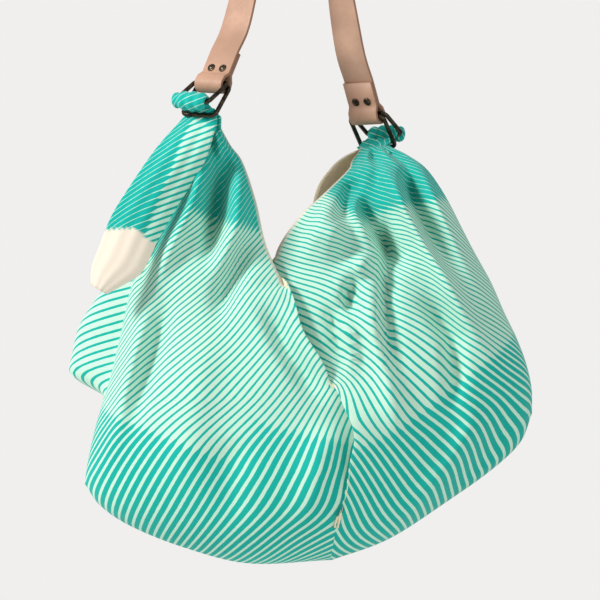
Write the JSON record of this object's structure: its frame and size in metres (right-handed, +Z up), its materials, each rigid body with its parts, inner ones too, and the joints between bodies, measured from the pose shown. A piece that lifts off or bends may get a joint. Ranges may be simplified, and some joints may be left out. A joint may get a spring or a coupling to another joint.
{
  "type": "furoshiki shoulder bag",
  "caption": "Striped cotton wrapping cloth knotted into a soft hanging pouch, its corners drawn through rectangular rings on a riveted leather shoulder strap",
  "frame": {"origin": "the underside of the strap at the top of its arch, where it lies on what it hangs from", "axes": "+Z up, +X from the ring with the tail in front towards the other ring, -Y towards the viewer of the picture"},
  "size_m": [0.4158, 0.1658, 0.7355],
  "materials": {
    "printed_cotton": "matt woven cotton printed with fine teal and cream stripes, cream on its reverse and corners",
    "natural_leather": "undyed vegetable-tanned leather, smooth grain side, finely napped flesh side",
    "dark_brass": "darkened antique brass, softly polished on the edges"
  },
  "bodies": {
    "root": {"furoshiki_cloth": "printed_cotton", "shoulder_strap": "natural_leather", "ring_left_outer": "dark_brass", "ring_left_inner": "dark_brass", "ring_right_outer": "dark_brass", "ring_right_inner": "dark_brass", "rivet_left_a": "dark_brass", "rivet_left_b": "dark_brass", "rivet_right_a": "dark_brass", "rivet_right_b": "dark_brass"}
  },
  "joints": []
}
